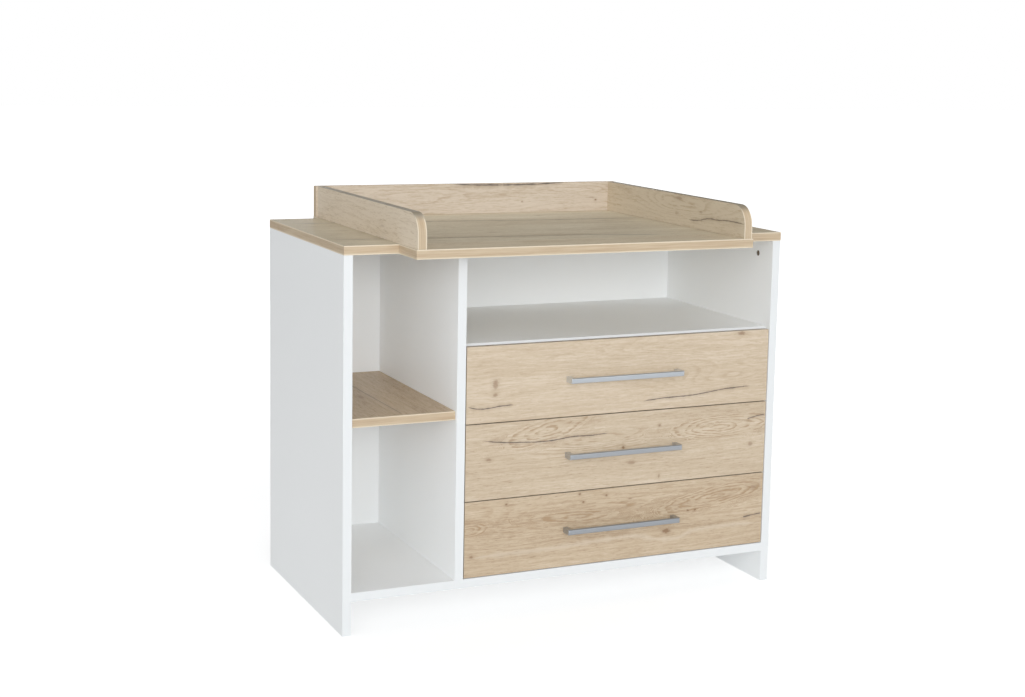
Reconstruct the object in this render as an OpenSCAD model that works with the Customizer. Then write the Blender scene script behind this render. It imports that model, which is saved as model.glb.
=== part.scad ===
// Changing table: white melamine case with an open shelf column, an open niche
// and a stack of inset drawers, under an oak-decor top board that carries a
// lift-off changer frame. Millimetres, +Z up, front towards -Y, floor at Z = 0,
// origin under the middle of the bounding box.

/* [Case] */
// Width of the case over both side panels
case_w = 1180; // [1000:10:1300]
// Depth of the side panels
case_d = 605; // [560:5:680]
// Height of the side panels, below the top board
side_h = 908; // [860:1:960]
// Thickness of every case and changer board
board_t = 22; // [18:0.5:25]
// Clear width of the open shelf column on the left
column_w = 262; // [220:1:320]
// Height of the bottom panel's underside above the floor
floor_gap = 82; // [60:1:110]
// Distance from the case front to the face of the back panels
inner_d = 550; // [520:1:580]
// Thickness of the back panels
back_t = 5; // [3:0.5:8]
// Depth of the grooves that hold the back panels
back_groove = 8; // [4:0.5:10]
// Overhang of the top board past the case front
top_overhang = 2; // [0:0.5:6]

/* [Shelves] */
// Height of the oak shelf's top face
oak_shelf_z = 522; // [400:1:640]
// Setback of the oak shelf from the case front
oak_shelf_setback = 8; // [2:1:20]
// Height of the fixed shelf's top face above the top drawer's front
shelf_lip = 5.5; // [3:0.5:9]
// Diameter of the shelf pins
pin_d = 5; // [4:0.5:6]
// Length of the shelf pins
pin_l = 16; // [12:1:20]

/* [Drawers] */
// Height of one drawer front
front_h = 188; // [170:1:195]
// Thickness of a drawer front
front_t = 18; // [16:0.5:19]
// Gap round and between the drawer fronts
front_gap = 3; // [2:0.5:4]
// Height of a drawer side
box_h = 130; // [100:1:140]
// Length of a drawer side
box_d = 500; // [440:5:510]
// Thickness of the drawer sides and back
box_t = 15; // [13:0.5:16]
// Thickness of a drawer bottom
bottom_t = 5; // [3:0.5:6]
// Height of a drawer side's lower edge above the front's lower edge
box_lift = 18; // [14:1:24]

/* [Handles] */
// Length of a bar handle
handle_l = 316; // [200:2:400]
// Height of the bar
handle_h = 14; // [10:0.5:18]
// Thickness of the bar
handle_t = 8; // [6:0.5:10]
// Distance from the drawer front to the bar's outer face
handle_reach = 32; // [26:1:38]
// Rounding of the front edges of a handle
handle_round = 3.5; // [1:0.5:6]
// Width of a handle leg
leg_w = 12; // [9:0.5:16]

/* [Changer] */
// Width of the changer frame over its strips
changer_w = 890; // [800:2:950]
// Distance from the case's left side to the changer's left end
changer_x = 133; // [90:1:200]
// Reach of the front strip past the case front
strip_front = 119; // [90:1:140]
// Reach of the rear strip past the case back
strip_rear = 49; // [40:1:70]
// Height of the changer walls above the top board
wall_h = 82; // [70:1:100]
// Setback of the walls from the ends and front of the strips
wall_inset = 3; // [1:0.5:6]
// Radius of the rounded front corners of the side walls
wall_r = 50; // [20:1:60]

/* [Runners] */
// Gap between a drawer side and the case wall
runner_gap = 12.5; // [12.5:0.5:13.5]
// Thickness of the runner steel
steel_t = 1.2; // [1:0.1:1.5]
// Radius of the runner rollers
roller_r = 8; // [7:0.5:8.5]
// Width of a roller
roller_w = 6; // [5:0.5:6]
// Diameter of a roller axle
axle_d = 4; // [3:0.5:5]

/* [Fittings] */
// Diameter of a cam lock
cam_d = 15; // [12:0.5:15]
// Distance from the top of a side panel to its cam locks
top_cam_dist = 40; // [34:1:44]
// Distance from a board's end to its other cam locks
cam_dist = 34; // [24:1:38]
// Distance from the case front to the front cam locks
cam_front = 70; // [50:1:90]
// Diameter of a dowel
dowel_d = 8; // [6:1:8]
// Diameter of the wall screw hole in a wall bracket
bracket_hole_d = 5.5; // [4.5:0.5:7]

/* [Hidden] */
$fn = 48;
// Clearance of a fastener in its bore, on the diameter
fit = 0.1;
// Clearance between two bodies that move past each other
slack = 0.3;
// Overlap that keeps a cut from ending exactly on a face
eps = 0.01;

strip_gap = 1;
front_y = -(case_d + strip_rear - strip_front) / 2;
top_z = side_h;
top_face_z = side_h + board_t;
bottom_z = floor_gap + board_t;
div_x0 = board_t + column_w;
div_x1 = div_x0 + board_t;
right_x = case_w - board_t;
bay_w = right_x - div_x1;
bay_mid = (div_x1 + right_x) / 2;

front_w = bay_w - 2 * front_gap;
front_pitch = front_h + front_gap;
front_z0 = bottom_z + front_gap - 0.5;
drawer_count = 3;
niche_z = front_z0 + (drawer_count - 1) * front_pitch + front_h + shelf_lip;
shelf_y0 = front_t + 2;

box_x0 = div_x1 + runner_gap;
box_x1 = right_x - runner_gap;
box_y1 = front_t + box_d;
groove_h = 8;
groove_d = 4;
leg_span = handle_l - leg_w;
roller_lift = roller_r - 2;
front_roller_y = 34;
rear_roller_y = box_y1 - 13;
channel_reach = 10.5;

wall_x0 = changer_x + wall_inset;
wall_x1 = changer_x + changer_w - wall_inset;
back_wall_y0 = case_d + strip_rear - 2 - board_t;
walls_y0 = wall_inset - 1 - strip_front;

// Height of drawer n's front and of its box, counted up from the bottom one
function front_z(n) = front_z0 + n * front_pitch;
function box_z(n) = front_z(n) + box_lift;
function roller_z(n) = box_z(n) + roller_lift;

// Rotation that turns +Z into the named direction
function turn(dir) =
    dir == "+x" ? [0, 90, 0] :
    dir == "-x" ? [0, -90, 0] :
    dir == "+y" ? [-90, 0, 0] :
    dir == "-y" ? [90, 0, 0] :
    dir == "-z" ? [180, 0, 0] : [0, 0, 0];

// Unit vector of the named direction
function unit(dir) =
    dir == "+x" ? [1, 0, 0] :
    dir == "-x" ? [-1, 0, 0] :
    dir == "+y" ? [0, 1, 0] :
    dir == "-y" ? [0, -1, 0] :
    dir == "-z" ? [0, 0, -1] : [0, 0, 1];

// Cam joints: where the bolt enters the edge, its way, the cam's mouth, the
// distance from the edge to the cam, and the thickness of the cam's board
inner_rear = inner_d - cam_front;
case_cams = [
    for (y = [cam_front, inner_rear]) each [
        [[board_t, y, floor_gap + board_t / 2], "+x", "-z", cam_dist, board_t],
        [[right_x, y, floor_gap + board_t / 2], "-x", "-z", cam_dist, board_t],
        [[div_x1, y + 20, niche_z - board_t / 2], "+x", "-z", cam_dist, board_t],
        [[right_x, y + 20, niche_z - board_t / 2], "-x", "-z", cam_dist, board_t],
        [[div_x0 + board_t / 2, y, bottom_z], "+z", "+x", cam_dist, board_t]
    ],
    for (y = [cam_front, case_d - cam_front - 35]) each [
        [[board_t / 2, y, top_z], "-z", "+x", top_cam_dist, board_t],
        [[case_w - board_t / 2, y, top_z], "-z", "-x", top_cam_dist, board_t],
        [[div_x0 + board_t / 2, y, top_z], "-z", "+x", top_cam_dist, board_t]
    ]
];

// Dowels: where each enters the edge board, and its way into it
case_dowels = [
    for (y = [cam_front + 64, inner_rear - 64]) each [
        [[board_t, y, floor_gap + board_t / 2], "+x"],
        [[right_x, y, floor_gap + board_t / 2], "-x"],
        [[div_x1, y, niche_z - board_t / 2], "+x"],
        [[right_x, y, niche_z - board_t / 2], "-x"],
        [[div_x0 + board_t / 2, y, bottom_z], "+z"],
        [[board_t / 2, y, top_z], "-z"],
        [[case_w - board_t / 2, y, top_z], "-z"],
        [[div_x0 + board_t / 2, y, top_z], "-z"]
    ]
];

// Screws that hold the back panels: the point on the panels' rear face
back_screw_points = [
    for (z = [200, 450, 760]) each [
        [div_x0 + 6, inner_d + back_t, z],
        [div_x1 - 6, inner_d + back_t, z]
    ],
    for (x = [80, 220, div_x1 + 70, bay_mid - 110, bay_mid + 110, right_x - 70])
        [x, inner_d + back_t, floor_gap + board_t / 2],
    for (x = [div_x1 + 70, bay_mid - 110, bay_mid + 110, right_x - 70])
        [x, inner_d + back_t, niche_z - board_t / 2]
];

// Shelf pins: the point where each leaves its panel, and its way out
shelf_pin_points = [
    for (y = [cam_front - 20, inner_rear + 20]) each [
        [[board_t, y, oak_shelf_z - board_t - pin_d / 2 - 0.1], "+x"],
        [[div_x0, y, oak_shelf_z - board_t - pin_d / 2 - 0.1], "-x"]
    ]
];

// Changer screws: the point on the surface under the head, and the way in
changer_screw_points = [
    for (x = [wall_x0 + board_t / 2, wall_x1 - board_t / 2]) each [
        [[x, -90, top_z], "+z"],
        [[x, -30, top_z], "+z"],
        [[x, back_wall_y0 + board_t, top_face_z + wall_h / 4], "-y"],
        [[x, back_wall_y0 + board_t, top_face_z + wall_h * 3 / 4], "-y"]
    ],
    for (k = [-1, 0, 1])
        [[changer_x + changer_w / 2 + k * changer_w / 3, back_wall_y0 + board_t / 2, top_z], "+z"]
];

// Wall brackets: the case x of each bracket's middle
bracket_xs = [110, case_w - 110];
bracket_w = 40;
bracket_t = 2;

// Moves the case frame (x from the left side, y from the front) into place
module place() {
    translate([-case_w / 2, front_y, 0])
        children();
}

// A board from one corner to the opposite one
module board(from, to) {
    translate(from)
        cube(to - from);
}

// ---- fasteners ----

// Bolt of a cam joint: thread in the face board, collar, neck and head
module cam_bolt(at, dir, dist, play = 0) {
    translate(at)
        rotate(turn(dir)) {
            translate([0, 0, -11 - play / 2])
                cylinder(d = 5 + play, h = 11 + play / 2 + eps);
            cylinder(d = 6.8 + play, h = dist - 6);
            translate([0, 0, dist - 6 - eps])
                cylinder(d = play > 0 ? 6.8 + play : 4, h = 4);
            translate([0, 0, dist - 2 - 2 * eps])
                cylinder(d = 6.8 + play, h = 4 + play);
        }
}

// Housing of a cam joint, cylinder only
module cam_body(at, dir, mouth, dist, wall, d, depth, sink) {
    translate(at + unit(dir) * dist + unit(mouth) * (wall / 2 - depth))
        rotate(turn(mouth))
            cylinder(d = d, h = depth - sink);
}

// Cam lock with a cross slot, bored for its bolt
module cam_lock(joint) {
    wall = joint[4];
    depth = min(13.5, wall - 3);
    difference() {
        cam_body(joint[0], joint[1], joint[2], joint[3], wall, cam_d - fit, depth, 0.5);
        cam_bolt(joint[0], joint[1], joint[3], fit * 2);
        translate(joint[0] + unit(joint[1]) * joint[3] + unit(joint[2]) * (wall / 2 - 2.2))
            rotate(turn(joint[2]))
                for (a = [45, 135])
                    rotate(a)
                        translate([-4, -0.7, 0])
                            cube([8, 1.4, 3]);
    }
}

// Everything a cam joint removes from the two boards it joins
module cam_cut(joints) {
    for (j = joints) {
        cam_bolt(j[0], j[1], j[3], fit);
        cam_body(j[0], j[1], j[2], j[3], j[4], cam_d, min(13.5, j[4] - 3), -eps);
    }
}

// Dowel, 10 mm in the face board and 20 mm in the edge board
module dowel(at, dir, play = 0) {
    translate(at)
        rotate(turn(dir))
            translate([0, 0, -10 - play])
                cylinder(d = dowel_d + play, h = 30 + 2 * play);
}

module dowel_cut(joints) {
    for (j = joints)
        dowel(j[0], j[1], fit);
}

// Countersunk screw with a cross recess; play > 0 gives the hole it needs
module flat_screw(at, dir, d, l, play = 0) {
    head = d * 2;
    translate(at)
        rotate(turn(dir))
            difference() {
                union() {
                    translate([0, 0, play > 0 ? -eps : 0.05])
                        cylinder(d1 = head + (play > 0 ? play : -0.2), d2 = d + play, h = d / 2);
                    translate([0, 0, 0.1])
                        cylinder(d = d + play, h = l - 0.1 + play);
                }
                if (play == 0)
                    for (a = [0, 90])
                        rotate(a)
                            translate([-d / 2, -0.4, -eps])
                                cube([d, 0.8, d / 3]);
            }
}

// Screw with a low flat head that stands on the surface
module pan_screw(at, dir, d, l, head_d, head_h, play = 0) {
    translate(at)
        rotate(turn(dir)) {
            if (play == 0)
                difference() {
                    translate([0, 0, -head_h])
                        cylinder(d = head_d, h = head_h);
                    for (a = [0, 90])
                        rotate(a)
                            translate([-head_d / 4, -0.35, -head_h - eps])
                                cube([head_d / 2, 0.7, head_h * 0.6]);
                }
            sunk = play > 0 ? eps : head_h * 0.3;
            translate([0, 0, -sunk])
                cylinder(d = d + play, h = l + play + sunk);
        }
}

module back_screw_cut() {
    for (p = back_screw_points)
        pan_screw(p, "-y", 3, 22, 6.5, 1.6, fit);
}

module changer_screw_cut() {
    for (s = changer_screw_points)
        flat_screw(s[0], s[1], 4.5, 48, fit);
}

// ---- case ----

// Side panel; the groove for the back panel faces the inside
module side_panel(x0, groove_x, pins) {
    difference() {
        board([x0, 0, 0], [x0 + board_t, case_d, side_h]);
        board([groove_x, inner_d, floor_gap - 1],
              [groove_x + back_groove + eps, inner_d + back_t + 0.4, side_h + 1]);
        cam_cut(case_cams);
        dowel_cut(case_dowels);
        if (pins)
            for (p = shelf_pin_points)
                shelf_pin(p[0], p[1], fit);
        for (n = [0 : drawer_count - 1])
            case_runner_screws(n, fit);
    }
}

module left_side_panel() {
    color("whitesmoke") place()
        side_panel(0, board_t - back_groove, true);
}

module right_side_panel() {
    color("whitesmoke") place()
        side_panel(right_x, right_x - eps, false);
}

module divider_panel() {
    color("whitesmoke") place()
        difference() {
            board([div_x0, 0, bottom_z], [div_x1, inner_d, side_h]);
            cam_cut(case_cams);
            dowel_cut(case_dowels);
            back_screw_cut();
            for (p = shelf_pin_points)
                shelf_pin(p[0], p[1], fit);
            for (n = [0 : drawer_count - 1])
                case_runner_screws(n, fit);
        }
}

module bottom_panel() {
    color("whitesmoke") place()
        difference() {
            board([board_t, 0, floor_gap], [right_x, inner_d, bottom_z]);
            cam_cut(case_cams);
            dowel_cut(case_dowels);
            back_screw_cut();
        }
}

module top_board() {
    color("burlywood") place()
        difference() {
            board([0, -top_overhang, top_z], [case_w, case_d, top_face_z]);
            board([board_t - back_groove, inner_d, top_z - 1],
                  [right_x + back_groove, inner_d + back_t + 0.4, top_z + 6]);
            cam_cut(case_cams);
            dowel_cut(case_dowels);
            wall_bracket_screw_shapes(fit);
        }
}

module fixed_shelf() {
    color("whitesmoke") place()
        difference() {
            board([div_x1, shelf_y0, niche_z - board_t], [right_x, inner_d, niche_z]);
            cam_cut(case_cams);
            dowel_cut(case_dowels);
            back_screw_cut();
        }
}

module oak_shelf() {
    color("burlywood") place()
        board([board_t + 0.5, oak_shelf_setback, oak_shelf_z - board_t],
              [div_x0 - 0.5, inner_d - 1, oak_shelf_z]);
}

// Back panel between two case x positions
module back_panel(x0, x1) {
    difference() {
        board([x0, inner_d + 0.2, floor_gap], [x1, inner_d + back_t, top_z + 5.5]);
        back_screw_cut();
    }
}

module back_panel_left() {
    color("white") place()
        back_panel(board_t - back_groove + 0.5, div_x0 + board_t / 2 - 0.5);
}

module back_panel_right() {
    color("white") place()
        back_panel(div_x0 + board_t / 2 + 0.5, right_x + back_groove - 0.5);
}

module back_panel_screws() {
    color("silver") place()
        for (p = back_screw_points)
            pan_screw(p, "-y", 3, 22, 6.5, 1.6);
}

module cam_locks() {
    color("dimgray") place()
        for (j = case_cams)
            cam_lock(j);
}

module cam_bolts() {
    color("silver") place()
        for (j = case_cams)
            cam_bolt(j[0], j[1], j[3]);
}

module dowels() {
    color("tan") place()
        for (j = case_dowels)
            dowel(j[0], j[1]);
}

// Shelf pin, half in its panel and half under the shelf
module shelf_pin(at, dir, play = 0) {
    translate(at)
        rotate(turn(dir))
            translate([0, 0, -pin_l / 2 - play])
                cylinder(d = pin_d + play, h = pin_l + play);
}

module shelf_pins() {
    color("silver") place()
        for (p = shelf_pin_points)
            shelf_pin(p[0], p[1]);
}

// Steel angle under the top board's rear edge that reaches to the wall
module wall_bracket(x) {
    y0 = inner_d + back_t + 4;
    y1 = case_d + strip_rear;
    difference() {
        union() {
            board([x - bracket_w / 2, y0, top_z - bracket_t - slack],
                  [x + bracket_w / 2, y1, top_z - slack]);
            board([x - bracket_w / 2, y1 - bracket_t, top_z - 42],
                  [x + bracket_w / 2, y1, top_z - slack]);
        }
        wall_bracket_screw_shapes(fit);
        translate([x, y1 - bracket_t - 1, top_z - 24])
            rotate(turn("+y"))
                cylinder(d = bracket_hole_d, h = bracket_t + 2);
    }
}

module wall_brackets() {
    color("silver") place()
        for (x = bracket_xs)
            wall_bracket(x);
}

module wall_bracket_screw_shapes(play = 0) {
    for (x = bracket_xs, dx = [-11, 11])
        pan_screw([x + dx, inner_d + back_t + 28, top_z - bracket_t - slack], "+z",
                  4, 16, 8, 2, play);
}

module wall_bracket_screws() {
    color("gray") place()
        wall_bracket_screw_shapes();
}

// ---- runners ----

// Repeats a shape made for the left side of the drawer bay on its right side
module both_sides() {
    children();
    translate([2 * bay_mid, 0, 0])
        mirror([1, 0, 0])
            children();
}

// Channel that is screwed to the case wall, with the axle of the front roller
module case_channel(n) {
    z = roller_z(n);
    y0 = shelf_y0;
    y1 = y0 + box_d;
    low = z - roller_r - slack - steel_t;
    high = z + roller_r + slack + steel_t + 0.7;
    difference() {
        union() {
            board([div_x1, y0, low], [div_x1 + steel_t, y1, high + steel_t]);
            board([div_x1, y0, low], [div_x1 + channel_reach, y1, low + steel_t]);
            board([div_x1, y0, high], [div_x1 + channel_reach, y1, high + steel_t]);
        }
        channel_screws(n, fit);
    }
    translate([div_x1 + steel_t / 2, front_roller_y, z])
        rotate(turn("+x"))
            cylinder(d = axle_d, h = channel_reach - steel_t / 2 - 0.2);
}

// The screws of the left channel of drawer n
module channel_screws(n, play = 0) {
    for (y = [64, 256, 448])
        pan_screw([div_x1 + steel_t, y, roller_z(n)], "-x", 3.5, 14, 6.5, 1.2, play);
}

// The screws of both channels of drawer n
module case_runner_screws(n, play = 0) {
    both_sides()
        channel_screws(n, play);
}

module case_runners() {
    color("white") place()
        for (n = [0 : drawer_count - 1])
            both_sides()
                case_channel(n);
}

module case_runner_screw_set() {
    color("silver") place()
        for (n = [0 : drawer_count - 1])
            case_runner_screws(n);
}

// Roller whose inner end is at case x on the left side of the bay
module roller(x, y, z) {
    translate([x, y, z])
        rotate(turn("+x"))
            difference() {
                cylinder(r = roller_r, h = roller_w);
                translate([0, 0, -1])
                    cylinder(d = axle_d + fit, h = roller_w + 2);
            }
}

module front_rollers(n) {
    color("ivory") place()
        both_sides()
            roller(div_x1 + steel_t + 1.4, front_roller_y, roller_z(n));
}

module rear_rollers(n) {
    color("ivory") place()
        both_sides()
            roller(box_x0 - steel_t - 1 - roller_w, rear_roller_y, roller_z(n));
}

// ---- drawers ----

// Cam joints between a drawer's sides and its front
function drawer_cams(n) = [
    for (x = [box_x0 + box_t / 2, box_x1 - box_t / 2], z = [30, 100])
        [[x, front_t, box_z(n) + z], "+y", x < bay_mid ? "+x" : "-x", 24, box_t]
];

// Screws of a drawer: sides to back, bottom to back, runners to sides
module drawer_screw_set(n, play = 0) {
    z = box_z(n);
    for (dz = [45, 100]) {
        flat_screw([box_x0, box_y1 - box_t / 2, z + dz], "+x", 3.5, 35, play);
        flat_screw([box_x1, box_y1 - box_t / 2, z + dz], "-x", 3.5, 35, play);
    }
    for (k = [-1, 1])
        flat_screw([bay_mid + k * front_w / 4, box_y1 - box_t / 2, z + groove_h], "+z",
                   3.5, 35, play);
    both_sides()
        for (y = [70, box_y1 - 60])
            flat_screw([box_x0 + 6, y, z - steel_t], "+z", 3.5, 35, play);
}

// Decor front, bored for the handle and the cam bolts, grooved for the bottom
module drawer_front(n) {
    z = front_z(n);
    color("burlywood") place()
        difference() {
            board([div_x1 + front_gap, 0, z], [right_x - front_gap, front_t, z + front_h]);
            for (k = [-1, 1])
                translate([bay_mid + k * leg_span / 2, -1, z + front_h / 2])
                    rotate(turn("+y"))
                        cylinder(d = 4.4, h = front_t + 2);
            cam_cut(drawer_cams(n));
            board([box_x0 + box_t - groove_d - 0.2, front_t - 5.2, box_z(n) + groove_h],
                  [box_x1 - box_t + groove_d + 0.2, front_t + 1, box_z(n) + groove_h + bottom_t + 0.2]);
        }
}

// Drawer side with its inner face towards the middle of the bay
module drawer_side(n) {
    z = box_z(n);
    difference() {
        board([box_x0, front_t, z], [box_x0 + box_t, box_y1, z + box_h]);
        board([box_x0 + box_t - groove_d - 0.2, front_t - 1, z + groove_h],
              [box_x0 + box_t + 1, box_y1 + 1, z + groove_h + bottom_t + 0.2]);
        cam_cut(drawer_cams(n));
        drawer_screw_set(n, fit);
    }
}

module drawer_left_side(n) {
    color("whitesmoke") place()
        drawer_side(n);
}

module drawer_right_side(n) {
    color("whitesmoke") place()
        translate([2 * bay_mid, 0, 0])
            mirror([1, 0, 0])
                drawer_side(n);
}

module drawer_back(n) {
    z = box_z(n);
    color("whitesmoke") place()
        difference() {
            board([box_x0 + box_t, box_y1 - box_t, z + groove_h + bottom_t + 0.2],
                  [box_x1 - box_t, box_y1, z + box_h]);
            drawer_screw_set(n, fit);
        }
}

module drawer_bottom(n) {
    z = box_z(n) + groove_h;
    color("white") place()
        difference() {
            board([box_x0 + box_t - groove_d, front_t - 5, z],
                  [box_x1 - box_t + groove_d, box_y1, z + bottom_t]);
            drawer_screw_set(n, fit);
        }
}

// Flat shape between two corners, rounded on its lower side
module front_rounded(from, to, r) {
    for (x = [from[0] + r, to[0] - r])
        translate([x, from[1] + r])
            circle(r = r, $fn = 32);
    translate([from[0], from[1] + r])
        square(to - from - [0, r]);
    translate([from[0] + r, from[1]])
        square(to - from - [2 * r, 0]);
}

// Bar handle: a bar and two legs, each tapped for its screw
module drawer_handle(n) {
    z = front_z(n) + front_h / 2;
    color("silver") place()
        difference() {
            intersection() {
                translate([0, 0, z - handle_h / 2])
                    linear_extrude(handle_h)
                        difference() {
                            front_rounded([bay_mid - handle_l / 2, -handle_reach],
                                          [bay_mid + handle_l / 2, 0], handle_round);
                            translate([bay_mid - handle_l / 2 + leg_w, -handle_reach + handle_t])
                                square([handle_l - 2 * leg_w, handle_reach]);
                        }
                translate([bay_mid - handle_l / 2 - 1, 0, 0])
                    rotate([90, 0, 90])
                        linear_extrude(handle_l + 2)
                            rotate(-90)
                                front_rounded([-z - handle_h / 2, -handle_reach],
                                              [-z + handle_h / 2, 0], handle_round);
            }
            handle_screw_pair(n, fit);
        }
}

// Screws that pull a handle on from inside the drawer
module handle_screw_pair(n, play = 0) {
    for (k = [-1, 1])
        pan_screw([bay_mid + k * leg_span / 2, front_t, front_z(n) + front_h / 2], "-y",
                  4, front_t + 12, 8.5, 2.4, play);
}

module drawer_handle_screws(n) {
    color("silver") place()
        handle_screw_pair(n);
}

// Locks and bolts that hold the front on the drawer's sides
module drawer_cam_fittings(n) {
    color("dimgray") place()
        for (j = drawer_cams(n)) {
            cam_lock(j);
            cam_bolt(j[0], j[1], j[3]);
        }
}

module drawer_screws(n) {
    color("silver") place()
        drawer_screw_set(n);
}

// Runner member under a drawer side, with the axle of the rear roller
module drawer_rail(n) {
    z = box_z(n);
    rail_z = roller_z(n) + roller_r + slack;
    x0 = box_x0 - steel_t;
    difference() {
        union() {
            board([x0, shelf_y0, z - steel_t], [box_x0, box_y1, rail_z + steel_t]);
            board([x0, shelf_y0, z - steel_t], [box_x0 + 11, box_y1, z]);
            board([x0 - 8, shelf_y0, rail_z], [box_x0, box_y1, rail_z + steel_t]);
        }
        drawer_screw_set(n, fit);
    }
    translate([box_x0 - steel_t / 2, rear_roller_y, roller_z(n)])
        rotate(turn("-x"))
            cylinder(d = axle_d, h = 8.3);
}

module drawer_runners(n) {
    color("white") place()
        both_sides()
            drawer_rail(n);
}

// ---- changer ----

// Side wall of the changer with its rounded front corner
module changer_side_wall(x) {
    y1 = back_wall_y0;
    difference() {
        translate([x, 0, 0])
            rotate([90, 0, 90])
                linear_extrude(board_t)
                    union() {
                        translate([walls_y0, top_face_z + slack])
                            square([y1 - walls_y0, wall_h - wall_r - slack]);
                        translate([walls_y0 + wall_r, top_face_z + slack])
                            square([y1 - walls_y0 - wall_r, wall_h - slack]);
                        intersection() {
                            translate([walls_y0 + wall_r, top_face_z + wall_h - wall_r])
                                circle(r = wall_r, $fn = 128);
                            translate([walls_y0, top_face_z + slack])
                                square([2 * wall_r, wall_h]);
                        }
                    }
        changer_screw_cut();
    }
}

module changer_left_wall() {
    color("burlywood") place()
        changer_side_wall(wall_x0);
}

module changer_right_wall() {
    color("burlywood") place()
        changer_side_wall(wall_x1 - board_t);
}

module changer_back_wall() {
    color("burlywood") place()
        difference() {
            board([changer_x, back_wall_y0, top_face_z + slack],
                  [changer_x + changer_w, back_wall_y0 + board_t, top_face_z + wall_h]);
            changer_screw_cut();
        }
}

// Strip of the changer frame, flush with the top board
module changer_strip(y0, y1) {
    difference() {
        board([changer_x, y0, top_z], [changer_x + changer_w, y1, top_face_z + slack]);
        changer_screw_cut();
    }
}

module changer_front_strip() {
    color("burlywood") place()
        changer_strip(-strip_front, -top_overhang - strip_gap);
}

module changer_rear_strip() {
    color("burlywood") place()
        changer_strip(case_d + strip_gap, case_d + strip_rear);
}

module changer_screws() {
    color("silver") place()
        for (s = changer_screw_points)
            flat_screw(s[0], s[1], 4.5, 48);
}

// ---- nodes ----

// Which sub-part to build, or all of them

// One part of drawer n, under its node name
module drawer_node(n, prefix) {
    drawer_front(n);
    drawer_left_side(n);
    drawer_right_side(n);
    drawer_back(n);
    drawer_bottom(n);
    drawer_handle(n);
    drawer_handle_screws(n);
    drawer_cam_fittings(n);
    drawer_screws(n);
    drawer_runners(n);
    front_rollers(n);
    rear_rollers(n);
}

left_side_panel();
right_side_panel();
divider_panel();
bottom_panel();
top_board();
fixed_shelf();
oak_shelf();
back_panel_left();
back_panel_right();
back_panel_screws();
cam_locks();
cam_bolts();
dowels();
shelf_pins();
wall_brackets();
wall_bracket_screws();
case_runners();
case_runner_screw_set();  // case_runner_screws
changer_left_wall();
changer_right_wall();
changer_back_wall();
changer_front_strip();
changer_rear_strip();
changer_screws();
drawer_node(0, "bottom");
drawer_node(1, "middle");
drawer_node(2, "top");
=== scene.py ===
"""Looks for the changing table: materials, rounded board edges, floor, light and camera.

Every board keeps the shape that the CAD gave it. Modifiers weld and round its edges,
and a procedural material gives each one its decor.
"""
import math

import bmesh
import bpy
from mathutils import Matrix, Vector


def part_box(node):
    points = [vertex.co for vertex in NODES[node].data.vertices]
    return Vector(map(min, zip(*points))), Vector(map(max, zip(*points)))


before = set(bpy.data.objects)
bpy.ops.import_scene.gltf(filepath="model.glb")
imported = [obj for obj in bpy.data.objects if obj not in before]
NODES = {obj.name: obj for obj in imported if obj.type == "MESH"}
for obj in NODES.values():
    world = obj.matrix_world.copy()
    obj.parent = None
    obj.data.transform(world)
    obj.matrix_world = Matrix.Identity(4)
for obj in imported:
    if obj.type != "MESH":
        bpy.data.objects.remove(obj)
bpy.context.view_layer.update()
DRAWERS = ("bottom", "middle", "top")
X, Y, Z = 0, 1, 2

# ---------------------------------------------------------------- camera
CAMERA_AT = Vector((-1.8285, -3.9875, 1.3959))
YAW, PITCH, ROLL = 0.455, 0.142, -0.023
LENS, SENSOR = 60.13, 36.0
SHIFT = (-0.0574, -0.0571)
NEAR_CLIP, FAR_CLIP = 0.05, 100.0


def add_camera():
    data = bpy.data.cameras.new("camera")
    data.sensor_width, data.lens = SENSOR, LENS
    data.shift_x, data.shift_y = SHIFT
    data.clip_start, data.clip_end = NEAR_CLIP, FAR_CLIP
    camera = bpy.data.objects.new("camera", data)
    bpy.context.scene.collection.objects.link(camera)
    ahead = Vector((math.sin(YAW) * math.cos(PITCH), math.cos(YAW) * math.cos(PITCH), -math.sin(PITCH)))
    level = Vector((math.cos(YAW), -math.sin(YAW), 0.0))
    below = ahead.cross(level)
    right = math.cos(ROLL) * level + math.sin(ROLL) * below
    down = -math.sin(ROLL) * level + math.cos(ROLL) * below
    turn = Matrix((right, -down, -ahead)).transposed()
    camera.matrix_world = Matrix.Translation(CAMERA_AT) @ turn.to_4x4()
    bpy.context.scene.camera = camera


add_camera()

# ---------------------------------------------------------------- shader graph helper
NORMAL_OUTPUT, OBJECT_OUTPUT = 1, 3
MIDDLE = 0.5        # the mean of a noise texture


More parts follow.
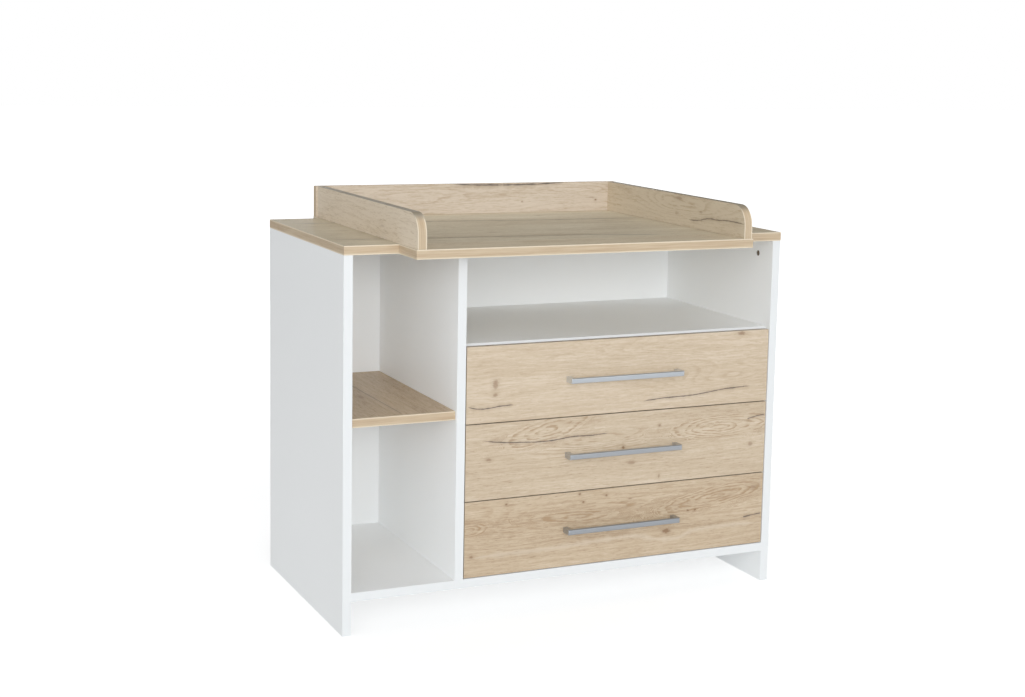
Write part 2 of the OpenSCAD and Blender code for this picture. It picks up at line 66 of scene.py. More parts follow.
class Graph:
    """Adds shader nodes and wires them; a number or a socket can stand for any input."""

    def __init__(self, tree):
        self.tree = tree
        tree.nodes.clear()

    def put(self, socket, value):
        if isinstance(value, bpy.types.NodeSocket):
            self.tree.links.new(value, socket)
        elif value is not None:
            if isinstance(value, tuple) and len(value) == 3 and socket.type == "RGBA":
                value = (*value, 1.0)
            socket.default_value = value

    def add(self, kind, *inputs, out=0, **settings):
        node = self.tree.nodes.new("ShaderNode" + kind)
        for key, value in settings.items():
            setattr(node, key, value)
        for socket, value in zip(node.inputs, inputs):
            self.put(socket, value)
        return node.outputs[out]

    def split(self, vector):
        node = self.tree.nodes.new("ShaderNodeSeparateXYZ")
        self.put(node.inputs[0], vector)
        return list(node.outputs)

    def math(self, operation, a, b=0.0, c=0.0):
        return self.add("Math", a, b, c, operation=operation)

    def mul(self, a, b):
        return self.math("MULTIPLY", a, b)

    def plus(self, a, b):
        return self.math("ADD", a, b)

    def less(self, a, b):
        return self.math("SUBTRACT", a, b)

    def fused(self, a, b, c):
        return self.math("MULTIPLY_ADD", a, b, c)

    def magnitude(self, value):
        return self.math("ABSOLUTE", value)

    def distance(self, a, b):
        return self.math("SQRT", self.square_sum(a, b))

    def square_sum(self, a, b):
        return self.fused(a, a, self.mul(b, b))

    def bell(self, a, b):
        """1 at the middle, falling away as a bell curve."""
        return self.math("EXPONENT", self.mul(self.square_sum(a, b), -1.0))

    def smooth(self, value, low, high, to_low=0.0, to_high=1.0):
        return self.add("MapRange", value, low, high, to_low, to_high, interpolation_type="SMOOTHSTEP")

    def noise(self, x, y, z, detail=2.0, rough=0.5):
        node = self.tree.nodes.new("ShaderNodeTexNoise")
        self.put(node.inputs["Vector"], self.add("CombineXYZ", x, y, z))
        node.inputs["Scale"].default_value = 1.0
        node.inputs["Detail"].default_value = detail
        node.inputs["Roughness"].default_value = rough
        return node.outputs[0]

    def even_noise(self, spot, scale, detail=2.0, rough=0.5):
        """Noise of the same scale, in cells per metre, along all three axes."""
        return self.noise(*(self.mul(s, scale) for s in spot), detail, rough)

    def swell(self, noise, amount, base):
        """The base value, made to rise and fall around itself with a noise."""
        return self.fused(self.less(noise, MIDDLE), amount, base)

    def mix(self, share, a, b, blend="MIX"):
        node = self.tree.nodes.new("ShaderNodeMix")
        node.data_type, node.blend_type = "RGBA", blend
        for name, value in (("Factor_Float", share), ("A_Color", a), ("B_Color", b)):
            self.put(next(s for s in node.inputs if s.identifier == name), value)
        return next(s for s in node.outputs if s.identifier == "Result_Color")

    def surface(self, color, rough, height=None, bump=0.0, depth=0.001, glow=None, **uniform):
        """The shader: colour and roughness may vary, everything in uniform is set on its own socket."""
        node = self.tree.nodes.new("ShaderNodeBsdfPrincipled")
        self.put(node.inputs["Base Color"], color)
        self.put(node.inputs["Roughness"], rough)
        if glow is not None:
            node.inputs["Emission Color"].default_value = (1.0, 1.0, 1.0, 1.0)
            self.put(node.inputs["Emission Strength"], glow)
        for key, value in uniform.items():
            node.inputs[key].default_value = value
        if height is not None:
            self.put(node.inputs["Normal"], self.add("Bump", bump, depth, None, height))
        output = self.tree.nodes.new("ShaderNodeOutputMaterial")
        self.tree.links.new(node.outputs[0], output.inputs[0])


def material(name):
    made = bpy.data.materials.new(name)
    made.use_nodes = True
    return made, Graph(made.node_tree)


def place_of(g):
    """Object coordinates: the row frame in metres, moving with the body."""
    return g.split(g.add("TexCoord", out=OBJECT_OUTPUT))


def normal_of(g):
    """How far the surface faces along each axis, from 0 to 1."""
    return [g.magnitude(s) for s in g.split(g.add("TexCoord", out=NORMAL_OUTPUT))]


def dimmed(color, share):
    return tuple(c * share for c in color)


# ---------------------------------------------------------------- oak decor
OAK_LIGHT = (0.68, 0.545, 0.39)
OAK_MID = (0.555, 0.42, 0.272)
OAK_DARK = (0.30, 0.185, 0.095)
RING = (0.36, 0.225, 0.115)
PALE = (0.72, 0.61, 0.47)
CRACK = (0.05, 0.033, 0.026)
STAIN = (0.30, 0.20, 0.125)
KNOT = (0.20, 0.095, 0.04)
BAND_PALE = (0.55, 0.415, 0.26)
BAND = (0.41, 0.275, 0.155)
# The band's pale lip is partly its trimmed colour and partly a painted highlight.
PALE_LIP_AND_HIGHLIGHT = (0.78, 0.66, 0.48)
# Painted shade for a front's band, in the gaps between the fronts.
BAND_GAP_SHADE = (0.10, 0.065, 0.035)
# Painted shade for the band where it faces up or down.
BAND_TOP_SHADE = (0.15, 0.125, 0.08)
RINGS_PER_METRE = 55.0
STAIN_SPREAD = 5.0      # how much wider than its crack a stain is
LINE_WANDER = 0.003
THINNEST = 0.00005
# Pale lip with its painted highlight: where it starts and where it is full, from the corner.
LIP_AND_HIGHLIGHT_INNER, LIP_AND_HIGHLIGHT_OUTER = 0.0032, 0.0016
# Painted gap shade: how far behind the face it starts and where it is full.
GAP_SHADE_FROM, GAP_SHADE_TO = 0.0015, 0.0045
OAK_BUMP, OAK_DEPTH = 0.45, 0.00035
# noise layers: cells per metre along and across the grain, step of the seed, detail and roughness
LAYERS = {"wander": (1.3, 3.0, 0.0, 2.0, 0.5),
          "plank": (1.6, 14.0, 1.3, 3.0, 0.55),
          "swing": (2.6, 13.0, 3.1, 1.5, 0.45),
          "streak": (4.0, 110.0, 2.2, 3.0, 0.6),
          "band_wave": (6.0, 60.0, 9.0, 2.0, 0.5),
          "wobble": (9.0, 40.0, 4.9, 3.0, 0.55),
          "dash": (26.0, 420.0, 6.6, 2.0, 0.65),
          "break": (30.0, 170.0, 5.7, 3.0, 0.6),
          "fibre": (45.0, 1300.0, 0.0, 2.0, 0.6),
          "wiggle": (55.0, 30.0, 7.0, 3.0, 0.6),
          "pore": (60.0, 620.0, 4.4, 1.0, 0.5),
          "knot_rim": (160.0, 260.0, 0.0, 2.0, 0.5)}


def layer(g, name, u, v, seed):
    """One noise layer at a place along and across the grain."""
    along, across, step, detail, rough = LAYERS[name]
    return g.noise(g.mul(u, along), g.mul(v, across), seed + step, detail, rough)


def bend_round_knots(g, u, v, knots, seed):
    """The place across the grain, wandering slowly and pushed aside by the knots."""
    warp = g.swell(layer(g, "wander", u, v, seed), 0.035, v)
    for ku, kv, ru, rv, strength in knots:
        du, dv = g.mul(g.less(u, ku), 0.4 / ru), g.mul(g.less(v, kv), 0.45 / rv)
        warp = g.plus(warp, g.mul(g.mul(g.bell(du, dv), dv), -rv * 1.1 * strength))
    return warp


def growth_lines(g, u, v, warp, flow, eyes, seed):
    """Straight bands, which the flow zones and the eyes turn into arches and ovals."""
    swing = layer(g, "swing", u, v, seed)
    field = g.plus(g.mul(warp, RINGS_PER_METRE), g.mul(swing, 5.0))
    wobble = layer(g, "wobble", u, v, seed)
    zone = 0.22
    for fu, fv, su, sv, strength in flow:
        fall = g.bell(g.mul(g.less(u, fu), 1.0 / su), g.mul(g.less(v, fv), 1.0 / sv))
        zone = g.fused(fall, strength, zone)
        field = g.fused(g.mul(fall, swing), 9.0, field)
    for eu, ev, su, sv, rings, slope in eyes:
        du = g.less(u, eu)
        dv = g.mul(g.fused(du, -slope, g.less(v, ev)), 1.0 / sv)
        far = g.swell(wobble, 0.55, g.distance(g.mul(du, 1.0 / su), dv))
        near = g.smooth(far, 1.6, 1.0)
        zone = g.fused(near, 0.85, zone)
        field = g.fused(g.less(g.mul(far, rings), field), near, field)
    saw = g.math("FRACT", field)
    ring = g.mul(g.smooth(saw, 0.35, 0.88), g.smooth(saw, 1.0, 0.90))
    broken = g.smooth(layer(g, "break", u, v, seed), 0.36, 0.60)
    return g.mul(g.mul(ring, broken), zone)


def line_mask(g, u, v, points, width, floor, roof, seed, crisp):
    """1 on a thin wandering line through the points, tapering to nothing at both ends."""
    start, end = points[0][0], points[-1][0]
    if start > end:
        points = points[::-1]
        start, end = end, start
    curve = g.tree.nodes.new("ShaderNodeFloatCurve")
    bends = curve.mapping.curves[0].points
    placed = [((a - start) / (end - start), (b - floor) / (roof - floor)) for a, b in points]
    bends[0].location, bends[1].location = placed[0], placed[-1]
    for bend in placed[1:-1]:
        bends.new(*bend)
    curve.mapping.update()
    along = g.add("MapRange", u, start, end, 0.0, 1.0)
    g.put(curve.inputs["Value"], along)
    wiggle = layer(g, "wiggle", u, v, seed)
    line = g.fused(curve.outputs[0], roof - floor, floor)
    away = g.magnitude(g.swell(wiggle, LINE_WANDER, g.less(v, line)))
    ends = g.mul(g.smooth(along, 0.0, 0.10), g.smooth(along, 1.0, 0.90))
    body = g.fused(g.noise(g.mul(u, 34.0), seed, 3.0, 3.0, 0.6), 3.0, -0.6)
    half = g.math("MAXIMUM", g.mul(g.mul(ends, body), width), THINNEST)
    inside = g.less(1.0, g.math("DIVIDE", away, half))
    return g.smooth(inside, 0.0, 0.6) if crisp else g.math("MAXIMUM", inside, 0.0)


def mark_knots(g, u, v, knots, color, hollow, seed):
    """Darkens every knot and the wood around it; returns the colour and how far the surface sinks."""
    for ku, kv, ru, rv, strength in knots:
        du, dv = g.mul(g.less(u, ku), 1.0 / ru), g.mul(g.less(v, kv), 1.0 / rv)
        far = g.swell(layer(g, "knot_rim", u, v, seed), 0.9, g.distance(du, dv))
        core = g.smooth(far, 1.1, 0.4)
        color = g.mix(g.mul(g.smooth(far, 2.6, 0.3), 0.45 * strength), color, OAK_DARK)
        color = g.mix(g.mul(core, 0.9 * strength), color, KNOT)
        hollow = g.fused(core, 0.5 * strength, hollow)
    return color, hollow


def mark_cracks(g, u, v, cracks, span, color, hollow, seed):
    """Draws every crack in its wider stain; returns the colour and how far the surface sinks."""
    for points, width, strength in cracks:
        stain = line_mask(g, u, v, points, width * STAIN_SPREAD, *span, seed, crisp=False)
        near = line_mask(g, u, v, points, width, *span, seed, crisp=True)
        color = g.mix(g.mul(stain, 0.45 * strength), color, STAIN)
        color = g.mix(g.mul(near, 0.95 * strength), color, CRACK)
        hollow = g.fused(near, strength, hollow)
    return color, hollow


def edge_band(g, u, v, w, facing, low, high, seed, gap_shade, band_top_shade):
    """The band round the sides, with its own grain and a paler lip at both corners, partly the trimmed
    band's own colour and partly a painted highlight; painted shade darkens it behind a drawer front's face
    and where it faces up or down.
    """
    run = g.less(u, v)
    wave = layer(g, "band_wave", run, w, seed)
    streak = g.noise(g.mul(run, 9.0), g.fused(wave, 3.0, g.mul(w, 330.0)), seed + 8.0, 3.0, 0.6)
    shade = g.plus(g.mul(g.less(streak, MIDDLE), 1.8), g.less(wave, MIDDLE))
    band = g.mix(g.smooth(shade, -0.45, 0.5), BAND_PALE, BAND)
    # Pale lip at both corners: partly the trimmed band's own colour, partly a painted highlight.
    to_corner = g.math("MINIMUM", g.less(w, low), g.less(high, w))
    band = g.mix(g.mul(g.smooth(to_corner, LIP_AND_HIGHLIGHT_INNER, LIP_AND_HIGHLIGHT_OUTER), 0.85), band, PALE_LIP_AND_HIGHLIGHT)
    # Painted shade: behind a front's face its band darkens, in the gaps between the fronts.
    if gap_shade:
        band = g.mix(g.smooth(g.less(w, low), GAP_SHADE_FROM, GAP_SHADE_TO, 0.0, gap_shade), band, BAND_GAP_SHADE)
    # Painted shade: the band darkens where it faces up or down, as on the wall tops.
    if band_top_shade:
        band = g.mix(g.mul(g.smooth(facing[Z], 0.6, 0.95), band_top_shade), band, BAND_TOP_SHADE)
    return band


def oak(node, axes, seed, tint, tone=0.0, contrast=1.0, cracks=(), knots=(), eyes=(), flow=(), pale=(),
        band_top_shade=0.0, gap_shade=0.0, name=None):
    """Oak decor for one board. axes are along the grain, across it and through the board; places are
    (along, across) in metres. A higher tone is darker; tint and tone also carry painted light, shade
    and sheen for the board. deep paints shade on the band of a front behind its face, in the gaps
    between the fronts, and crest paints shade on the upper side of the band."""
    grain, across, thick = axes
    made, g = material(name or node)
    low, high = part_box(node)
    xyz, facing = place_of(g), normal_of(g)
    u, v, w = xyz[grain], xyz[across], xyz[thick]
    span = low[across], high[across]

    warp = bend_round_knots(g, u, v, knots, seed)
    ring = growth_lines(g, u, v, warp, flow, eyes, seed)

    # plank tone, streaks, fibres and pores
    plank, streak, dash, fibre = (layer(g, n, u, warp, seed) for n in ("plank", "streak", "dash", "fibre"))
    pore = g.smooth(layer(g, "pore", u, warp, seed), 0.58, 0.70)
    speck = g.noise(g.mul(u, 120.0), g.mul(v, 190.0), g.mul(w, 200.0), 2.0)
    shade = g.mul(g.less(plank, MIDDLE), 1.2)
    for fine, amount in ((streak, 1.0), (dash, 1.3), (fibre, 0.5)):
        shade = g.swell(fine, amount, shade)
    shade = g.fused(pore, 0.40, g.fused(ring, 0.26, shade))
    shade = g.fused(g.swell(speck, 0.35, shade), contrast, 0.40 + tone)
    color = g.mix(g.smooth(shade, -0.1, 0.5), OAK_LIGHT, OAK_MID)
    color = g.mix(g.smooth(shade, 0.35, 1.45), color, OAK_DARK)
    color = g.mix(g.mul(ring, 0.85), color, RING)

    # pale wavy lines, knots and cracks
    for points, width in pale:
        near = line_mask(g, u, v, points, width, *span, seed, crisp=False)
        color = g.mix(g.mul(near, 0.45), color, PALE)
    color, hollow = mark_knots(g, u, v, knots, color, 0.0, seed)
    color, hollow = mark_cracks(g, u, v, cracks, span, color, hollow, seed)

    band = edge_band(g, u, v, w, facing, low[thick], high[thick], seed, gap_shade, band_top_shade)
    # Each board's tint, like its tone, also carries painted light: it makes the oak lighter, darker, greyer
    # or greener where light, shade or sheen falls on the board.
    color = g.mix(1.0, color, tint, "MULTIPLY")
    color = g.mix(g.smooth(facing[thick], 0.80, 0.55), color, band)
    height = g.fused(hollow, -1.6, g.fused(pore, -0.5, g.mul(fibre, 0.35)))
    height = g.fused(ring, -0.4, height)
    gloss = g.fused(pore, 0.12, g.swell(streak, 0.10, 0.44))
    g.surface(color, gloss, height, OAK_BUMP, OAK_DEPTH)
    wear(node, made)


# ---------------------------------------------------------------- plain materials
# The second white is a painted shade for faces turned to the front or back.
MELAMINE, MELAMINE_PAINTED_SHADE = (0.955, 0.970, 0.975), (0.77, 0.795, 0.81)
LACQUER = (0.93, 0.95, 0.96), (0.92, 0.94, 0.95)
FIBRE = (0.36, 0.24, 0.14), (0.22, 0.14, 0.08)
BEECH, BEECH_FLECK, BEECH_PALE = (0.66, 0.45, 0.26), (0.50, 0.31, 0.16), (0.72, 0.53, 0.34)
BRUSH_ALONG, BRUSH_ACROSS = 18.0, 1400.0


def melamine(name):
    """White melamine: fine pearl grain and faint cloudiness; faces turned to the front or back get a painted
    shade, a greyer white.
    """
    made, g = material(name)
    spot = place_of(g)
    cloud = g.even_noise(spot, 5.0, 3.0)
    pearl = g.even_noise(spot, 900.0, 1.0)
    tint = g.mix(cloud, MELAMINE, dimmed(MELAMINE, 0.985))
    # Painted shade: faces turned to the front or back are painted greyer.
    tint = g.mix(g.smooth(normal_of(g)[Y], 0.7, 0.95), tint, MELAMINE_PAINTED_SHADE)
    g.surface(tint, g.swell(cloud, 0.10, 0.42), pearl, 0.12, 0.0001)
    return made


def hardboard(name, thick):
    """White lacquered face, brown fibre at the cut edges; thick is the axis through the sheet."""
    made, g = material(name)
    spot = place_of(g)
    cloud = g.even_noise(spot, 9.0, 4.0)
    weave = g.even_noise(spot, 700.0)
    on_edge = g.smooth(normal_of(g)[thick], 0.7, 0.5)
    tint = g.mix(on_edge, g.mix(cloud, *LACQUER), g.mix(weave, *FIBRE))
    g.surface(tint, g.fused(cloud, 0.1, 0.4), weave, 0.15, 0.0001)
    return made


def steel(name, color, rough, metallic=1.0, grain=260.0, spread=0.12):
    """Plated, coated or cast metal with a fine uneven finish."""
    made, g = material(name)
    spot = place_of(g)
    fine = g.even_noise(spot, grain, 3.0, 0.6)
    tint = g.mix(g.even_noise(spot, 40.0), color, dimmed(color, 0.8))
    g.surface(tint, g.swell(fine, spread, rough), fine, 0.1, 0.0001, Metallic=metallic)
    return made


def brushed(name, color):
    """Satin anodised aluminium with a fine brushed grain along the bar."""
    made, g = material(name)
    x, y, z = place_of(g)
    line = g.noise(g.mul(x, BRUSH_ALONG), g.mul(y, BRUSH_ACROSS), g.mul(z, BRUSH_ACROSS), 3.0, 0.6)
    cloud = g.even_noise((x, y, z), 30.0)
    tint = g.mix(line, color, dimmed(color, 0.9))
    gloss = g.swell(cloud, 0.06, g.swell(line, 0.12, 0.34))
    g.surface(tint, gloss, line, 0.08, 0.00005, Metallic=1.0)
    return made


def plastic(name, color, rough=0.45):
    made, g = material(name)
    spot = place_of(g)
    fine = g.even_noise(spot, 600.0)
    tint = g.mix(g.even_noise(spot, 60.0), color, dimmed(color, 0.93))
    g.surface(tint, g.swell(fine, 0.1, rough), fine, 0.1, 0.0001)
    return made


def beech(name):
    made, g = material(name)
    x, y, z = place_of(g)
    fleck = g.noise(g.mul(x, 200.0), g.mul(y, 500.0), g.mul(z, 500.0), 3.0)
    wide = g.even_noise((x, y, z), 50.0)
    tint = g.mix(g.mul(wide, 0.4), g.mix(fleck, BEECH, BEECH_FLECK), BEECH_PALE)
    g.surface(tint, 0.6, fleck, 0.2, 0.0002)
    return made


# ---------------------------------------------------------------- who wears what
def wear(node, made):
    mesh = NODES[node].data
    mesh.materials.clear()
    mesh.materials.append(made)


white = melamine("white_melamine")
white_back = hardboard("white_hardboard", Y)
white_bottom = hardboard("white_drawer_bottom", Z)
zinc = steel("zinc_plated_steel", (0.66, 0.66, 0.64), 0.32)
cam_metal = steel("bronze_cam", (0.12, 0.075, 0.045), 0.45, metallic=0.6)
white_steel = steel("white_coated_steel", (0.82, 0.82, 0.82), 0.35, metallic=0.0, grain=500.0, spread=0.08)
# Painted light: the three handles are one aluminium, painted lighter on the top drawer and darker on the
# bottom one.
ALUMINIUM_LIT_BY_ROW = {"bottom": (0.40, 0.43, 0.47), "middle": (0.46, 0.49, 0.53), "top": (0.65, 0.70, 0.76)}
nylon = plastic("roller_nylon", (0.80, 0.77, 0.68))

WHITE_BOARDS = ("left_side_panel", "right_side_panel", "divider_panel", "bottom_panel", "fixed_shelf")
OAK_BOARDS = ("top_board", "oak_shelf", "changer_left_wall", "changer_right_wall", "changer_back_wall",
              "changer_front_strip", "changer_rear_strip")
BOX_BOARDS = ("left_side", "right_side", "back")
ZINC_PARTS = ("back_panel_screws", "cam_bolts", "wall_brackets", "wall_bracket_screws", "shelf_pins",
              "case_runner_screws", "changer_screws")

for name in WHITE_BOARDS:
    wear(name, white)
for name in ("back_panel_left", "back_panel_right"):
    wear(name, white_back)
for name in ZINC_PARTS:
    wear(name, zinc)
wear("cam_locks", cam_metal)
wear("dowels", beech("beech_dowel"))
wear("case_runners", white_steel)
for n in DRAWERS:
    for side in BOX_BOARDS:
        wear(f"{n}_drawer_{side}", white)
    wear(f"{n}_drawer_bottom", white_bottom)
    wear(f"{n}_drawer_handle", brushed(f"satin_aluminium_{n}", ALUMINIUM_LIT_BY_ROW[n]))
    wear(f"{n}_drawer_runners", white_steel)
    wear(f"{n}_drawer_cam_fittings", cam_metal)
    wear(f"{n}_drawer_handle_screws", zinc)
    wear(f"{n}_drawer_screws", zinc)
    for end in ("front", "rear"):
        wear(f"{n}_drawer_{end}_rollers", nylon)


# ---------------------------------------------------------------- oak boards
# A crack is (path, width, strength), a pale line is (path, width), a knot or a flow zone is
# (along, across, half length, half height, strength) and an eye ends with its rings and its slope.
FRONT_AXES, TOP_AXES, WALL_AXES, SHELF_AXES = (X, Z, Y), (X, Y, Z), (Y, Z, X), (Y, X, Z)
# How strongly painted shade darkens a front's band in the gaps between the fronts.
FRONT_GAP_SHADE = 0.62


def spots(base, *places):
    """Places given from a board's corner, moved to the row frame."""
    return [(base[0] + a, base[1] + b, *rest) for a, b, *rest in places]


def corner(node, along, across):
    """A board's lowest corner, along and across its grain."""
    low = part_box(node)[0]
    return low[along], low[across]


# Painted shade: tint and tone step darker from the top front to the bottom one, as the light falls off
# towards the floor.
top = corner("top_drawer_front", X, Z)
oak("top_drawer_front", FRONT_AXES, 2.0, tint=(0.95, 0.95, 0.965), tone=-0.08, contrast=0.75,
    gap_shade=FRONT_GAP_SHADE, name="oak_top_front",
    cracks=[(spots(top, (0.002, 0.042), (0.045, 0.035), (0.08, 0.038), (0.125, 0.040)), 0.0020, 0.9),
            (spots(top, (0.475, 0.023), (0.55, 0.028), (0.62, 0.029), (0.67, 0.034), (0.72, 0.039),
                   (0.80, 0.042)), 0.0019, 0.95)],
    knots=spots(top, (0.075, 0.093, 0.0085, 0.0145, 0.62), (0.075, 0.067, 0.0070, 0.0050, 0.6),
                (0.764, 0.182, 0.013, 0.006, 0.75)),
    flow=spots(top, (0.55, 0.15, 0.4, 0.03, 0.15), (0.72, 0.07, 0.2, 0.03, 0.2)))

middle = corner("middle_drawer_front", X, Z)
oak("middle_drawer_front", FRONT_AXES, 5.0, tint=(0.95, 0.96, 0.985), contrast=0.9,
    gap_shade=FRONT_GAP_SHADE, name="oak_middle_front",
    cracks=[(spots(middle, (0.04, 0.148), (0.10, 0.139), (0.16, 0.135), (0.20, 0.133), (0.235, 0.134),
                   (0.29, 0.139), (0.33, 0.138), (0.39, 0.141)), 0.0019, 0.95),
            (spots(middle, (0.79, 0.146), (0.82, 0.151), (0.845, 0.154)), 0.0022, 0.85)],
    knots=spots(middle, (0.060, 0.099, 0.009, 0.0045, 0.65), (0.428, 0.0995, 0.0050, 0.0045, 1.0),
                (0.453, 0.058, 0.013, 0.006, 0.5), (0.803, 0.078, 0.008, 0.006, 0.6),
                (0.531, 0.148, 0.0045, 0.0035, 0.7), (0.533, 0.016, 0.003, 0.006, 0.6)),
    eyes=spots(middle, (0.715, 0.132, 0.150, 0.029, 5.0, 0.03), (0.215, 0.160, 0.120, 0.030, 3.4, 0.22)),
    flow=spots(middle, (0.35, 0.115, 0.22, 0.030, 0.7)))

bottom = corner("bottom_drawer_front", X, Z)
oak("bottom_drawer_front", FRONT_AXES, 9.0, tint=(0.91, 0.89, 0.87), tone=0.18,
    gap_shade=FRONT_GAP_SHADE, name="oak_bottom_front",
    cracks=[(spots(bottom, (0.787, 0.073), (0.81, 0.076), (0.845, 0.079)), 0.0022, 0.9)],
    knots=spots(bottom, (0.109, 0.1745, 0.0042, 0.0035, 0.9), (0.309, 0.181, 0.0042, 0.0035, 0.95),
                (0.320, 0.1595, 0.0040, 0.0032, 1.0), (0.384, 0.171, 0.0042, 0.0032, 0.9),
                (0.452, 0.156, 0.007, 0.0025, 0.6), (0.621, 0.108, 0.0042, 0.0032, 1.0),
                (0.643, 0.108, 0.0042, 0.0032, 1.0), (0.017, 0.051, 0.006, 0.0045, 0.8),
                (0.559, 0.060, 0.014, 0.007, 1.0), (0.817, 0.152, 0.012, 0.007, 0.5)),
    eyes=spots(bottom, (0.70, 0.138, 0.165, 0.028, 4.6, 0.13), (0.01, 0.118, 0.050, 0.018, 3.0, 0.05),
               (0.30, 0.125, 0.120, 0.016, 2.4, -0.03)),
    flow=spots(bottom, (0.25, 0.125, 0.3, 0.032, 0.8), (0.6, 0.125, 0.35, 0.04, 0.7)),
    pale=[(spots(bottom, (0.0, 0.046), (0.08, 0.049), (0.22, 0.049), (0.39, 0.056), (0.47, 0.056),
                 (0.53, 0.042), (0.59, 0.039), (0.64, 0.053), (0.72, 0.056), (0.85, 0.053)), 0.010)])

origin = (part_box("top_board")[0].x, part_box("left_side_panel")[0].y)
# Painted sheen: the tint turns the top's oak greyer and greener.
oak("top_board", TOP_AXES, 14.0, tint=(0.90, 1.01, 1.06), tone=0.2, name="oak_top_board",
    cracks=[(spots(origin, (0.0, 0.488), (0.12, 0.482), (0.46, 0.452), (0.66, 0.432), (0.85, 0.424),
                   (1.02, 0.417)), 0.006, 0.75),
            (spots(origin, (0.0, 0.121), (0.15, 0.108), (0.36, 0.092), (0.50, 0.082), (0.60, 0.078),
                   (0.72, 0.058), (0.78, 0.045), (0.88, 0.026)), 0.006, 0.7)],
    knots=spots(origin, (0.446, 0.178, 0.016, 0.012, 0.4), (0.592, 0.080, 0.02, 0.008, 0.5),
                (0.738, 0.540, 0.010, 0.010, 0.5), (0.10, 0.30, 0.014, 0.01, 0.5),
                (1.09, 0.20, 0.014, 0.01, 0.4)),
    flow=spots(origin, (0.5, 0.30, 0.5, 0.1, 0.3)))
# Painted sheen: the tint turns the strip's oak greyer, like the top's.
oak("changer_front_strip", TOP_AXES, 16.0, tint=(0.92, 0.99, 1.00), tone=0.15, name="oak_front_strip",
    flow=spots(origin, (0.6, -0.06, 0.5, 0.05, 0.3)))
oak("changer_rear_strip", TOP_AXES, 18.0, tint=(0.82, 0.85, 0.79), tone=0.2, name="oak_rear_strip")

back = corner("changer_back_wall", X, Z)
oak("changer_back_wall", FRONT_AXES, 21.0, tint=(0.88, 0.90, 0.96), tone=-0.25, name="oak_changer_back",
    cracks=[(spots(back, (0.38, 0.082), (0.47, 0.0782), (0.55, 0.0772), (0.61, 0.0775), (0.66, 0.079),
                   (0.73, 0.082)), 0.0026, 0.95)],
    knots=spots(back, (0.827, 0.031, 0.0035, 0.0025, 1.0), (0.812, 0.038, 0.012, 0.002, 0.4),
                (0.597, 0.030, 0.003, 0.002, 0.7)),
    flow=spots(back, (0.25, 0.04, 0.25, 0.03, 0.3), (0.75, 0.06, 0.2, 0.02, 0.3)))

foot = (origin[1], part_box("changer_left_wall")[0].z)
# Painted sheen and shade: the low tone makes both walls' oak lighter, as a sheen would, and crest paints
# shade on their tops.
WALL_LOOK = {"tone": -0.5, "contrast": 1.3, "band_top_shade": 0.85}
# Painted sheen: the tint makes the left wall's oak lighter and bluer.
oak("changer_left_wall", WALL_AXES, 25.0, tint=(1.08, 1.11, 1.14), **WALL_LOOK, name="oak_changer_left",
    knots=spots(foot, (0.12, 0.030, 0.016, 0.003, 0.3)))
# Painted shade: the tint makes the right wall's oak darker.
oak("changer_right_wall", WALL_AXES, 29.0, tint=(0.83, 0.84, 0.80), **WALL_LOOK, name="oak_changer_right",
    cracks=[(spots(foot, (0.165, 0.020), (0.105, 0.024), (0.075, 0.0305), (0.055, 0.033), (0.015, 0.0335),
                   (-0.03, 0.0365), (-0.06, 0.037), (-0.117, 0.0355)), 0.0022, 0.75)],
    knots=spots(foot, (0.215, 0.072, 0.020, 0.006, 0.5), (0.10, 0.046, 0.010, 0.004, 0.4),
                (0.225, 0.032, 0.012, 0.005, 0.35)),
    flow=spots(foot, (0.2, 0.055, 0.2, 0.03, 0.5)))

shelf = corner("oak_shelf", Y, X)
oak("oak_shelf", SHELF_AXES, 33.0, tint=(0.88, 0.81, 0.70), tone=0.15,
    cracks=[(spots(shelf, (0.0, 0.131), (0.17, 0.129), (0.35, 0.127), (0.54, 0.128)), 0.0024, 0.6)],
    knots=spots(shelf, (0.232, 0.103, 0.018, 0.008, 0.5)),
    flow=spots(shelf, (0.3, 0.05, 0.3, 0.05, 0.3)))

# ---------------------------------------------------------------- rounded edges
BOARD_EDGE, HANDLE_EDGE, BOX_EDGE = 0.0009, 0.0005, 0.0007
EDGE_SEGMENTS = 2
WELD_WITHIN = 1e-5
FLAT_WITHIN, SHARP_FROM = math.radians(0.8), math.radians(40)
FACE_WEIGHT = 100


def soften(node, width):
    """Welds the imported triangles, joins flat ones and rounds the hard edges, all inside the CAD shape."""
    o = NODES[node]
    weld = o.modifiers.new("weld", "WELD")
    weld.merge_threshold = WELD_WITHIN
    flat = o.modifiers.new("flat", "DECIMATE")
    flat.decimate_type, flat.angle_limit = "DISSOLVE", FLAT_WITHIN
    bevel = o.modifiers.new("bevel", "BEVEL")
    bevel.width, bevel.segments = width, EDGE_SEGMENTS
    bevel.limit_method, bevel.angle_limit = "ANGLE", SHARP_FROM
    bevel.use_clamp_overlap = True
    shading = o.modifiers.new("shading", "WEIGHTED_NORMAL")
    shading.mode, shading.weight = "FACE_AREA", FACE_WEIGHT
    for p in o.data.polygons:
        p.use_smooth = True


for name in WHITE_BOARDS + OAK_BOARDS:
    soften(name, BOARD_EDGE)
for n in DRAWERS:
    soften(f"{n}_drawer_front", BOARD_EDGE)
    soften(f"{n}_drawer_handle", HANDLE_EDGE)
    for side in BOX_BOARDS:
        soften(f"{n}_drawer_{side}", BOX_EDGE)

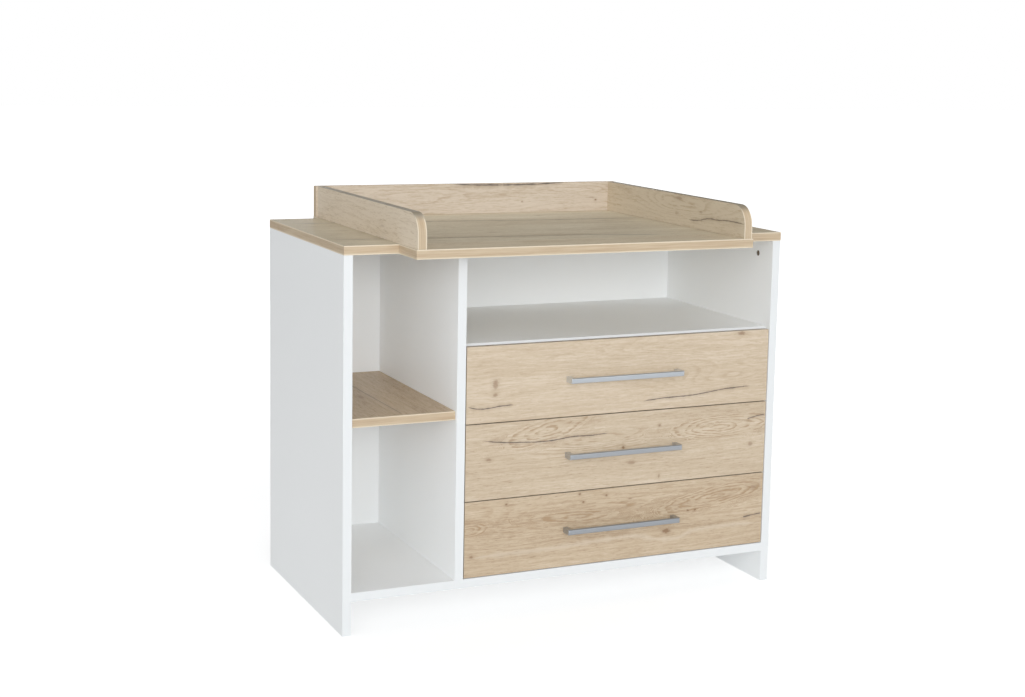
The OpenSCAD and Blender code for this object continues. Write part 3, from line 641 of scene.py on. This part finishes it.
# ---------------------------------------------------------------- floor and light
FLOOR_SIZE, FLOOR_ROUGH = 30.0, 0.7
FLOOR_PALE, FLOOR_DIM = (0.88, 0.88, 0.88), (0.87, 0.87, 0.87)
FLOOR_NEAR, FLOOR_FAR = 1.0, 4.0
GLOW_NEAR, GLOW_FAR = 0.46, 1.05
WHITE = (1.0, 1.0, 1.0)
SKY = (0.975, 1.0, 1.01)
DOME, HORIZON, FRONT = 0.07, 0.06, 2.55
FRONT_TO = (-0.35, -0.94)
HORIZON_FALL, FRONT_FALL = 4.0, 0.6
# each lamp's place, the height over the origin that it aims at, its size in metres and its power in watts
SOFTBOXES = {"front_box": ((-1.4, -7.0, 2.0), 0.6, (2.0, 1.5), 90.0),
             "side_box": ((-4.2, -6.0, 2.8), 0.6, (2.4, 2.0), 56.0),
             "left_box": ((-4.0, -0.6, 3.2), 0.6, (1.6, 1.6), 14.0),
             "right_box": ((4.4, 0.4, 2.2), 0.6, (2.0, 2.0), 42.0),
             "back_box": ((1.6, 4.6, 0.8), 0.5, (2.4, 1.2), 34.0),
             "overhead": ((0.0, 0.3, 4.5), 0.6, (3.0, 3.0), 52.0)}
VIEW_GAMMA = 1.3
DIFFUSE_BOUNCES = 8


def add_floor():
    """A pale floor that a camera sees fade to white away from the object."""
    made, g = material("pale_floor")
    x, y, _ = place_of(g)
    cloud = g.noise(g.mul(x, 0.6), g.mul(y, 0.6), 0.0)
    glow = g.smooth(g.distance(x, y), FLOOR_NEAR, FLOOR_FAR, GLOW_NEAR, GLOW_FAR)
    g.surface(g.mix(cloud, FLOOR_PALE, FLOOR_DIM), FLOOR_ROUGH, glow=g.mul(glow, g.add("LightPath")))
    mesh = bpy.data.meshes.new("floor")
    shape = bmesh.new()
    bmesh.ops.create_grid(shape, x_segments=1, y_segments=1, size=FLOOR_SIZE)
    shape.to_mesh(mesh)
    shape.free()
    mesh.materials.append(made)
    floor = bpy.data.objects.new("floor", mesh)
    bpy.context.scene.collection.objects.link(floor)


def add_softbox(name, at, aim_height, size, power):
    data = bpy.data.lights.new(name, "AREA")
    data.shape, data.size, data.size_y = "RECTANGLE", *size
    data.energy = power
    lamp = bpy.data.objects.new(name, data)
    lamp.visible_camera = False
    lamp.location = at
    lamp.rotation_mode = "QUATERNION"
    aim = Vector((0.0, 0.0, aim_height))
    lamp.rotation_quaternion = (aim - Vector(at)).to_track_quat("-Z", "Y")
    bpy.context.scene.collection.objects.link(lamp)


def add_world():
    """A dim dome, brighter towards the horizon and in front; a camera sees plain white behind the object."""
    world = bpy.data.worlds.new("studio")
    world.use_nodes = True
    bpy.context.scene.world = world
    g = Graph(world.node_tree)
    x, y, z = g.split(g.add("TexCoord"))
    level = g.less(1.0, g.magnitude(z))
    ahead = g.math("MAXIMUM", g.fused(x, FRONT_TO[0], g.mul(y, FRONT_TO[1])), 0.0)
    ahead = g.mul(g.mul(ahead, ahead), g.math("POWER", level, FRONT_FALL))
    power = g.fused(g.math("POWER", level, HORIZON_FALL), HORIZON, g.fused(ahead, FRONT, DOME))
    seen = g.add("LightPath")
    both = g.add("MixShader", seen, g.add("Background", SKY, power), g.add("Background", WHITE, 1.0))
    output = world.node_tree.nodes.new("ShaderNodeOutputWorld")
    world.node_tree.links.new(both, output.inputs[0])


add_floor()
add_world()
for name, settings in SOFTBOXES.items():
    add_softbox(name, *settings)
bpy.context.scene.view_settings.view_transform = "Standard"
bpy.context.scene.view_settings.look = "None"
bpy.context.scene.view_settings.gamma = VIEW_GAMMA
bpy.context.scene.cycles.diffuse_bounces = DIFFUSE_BOUNCES
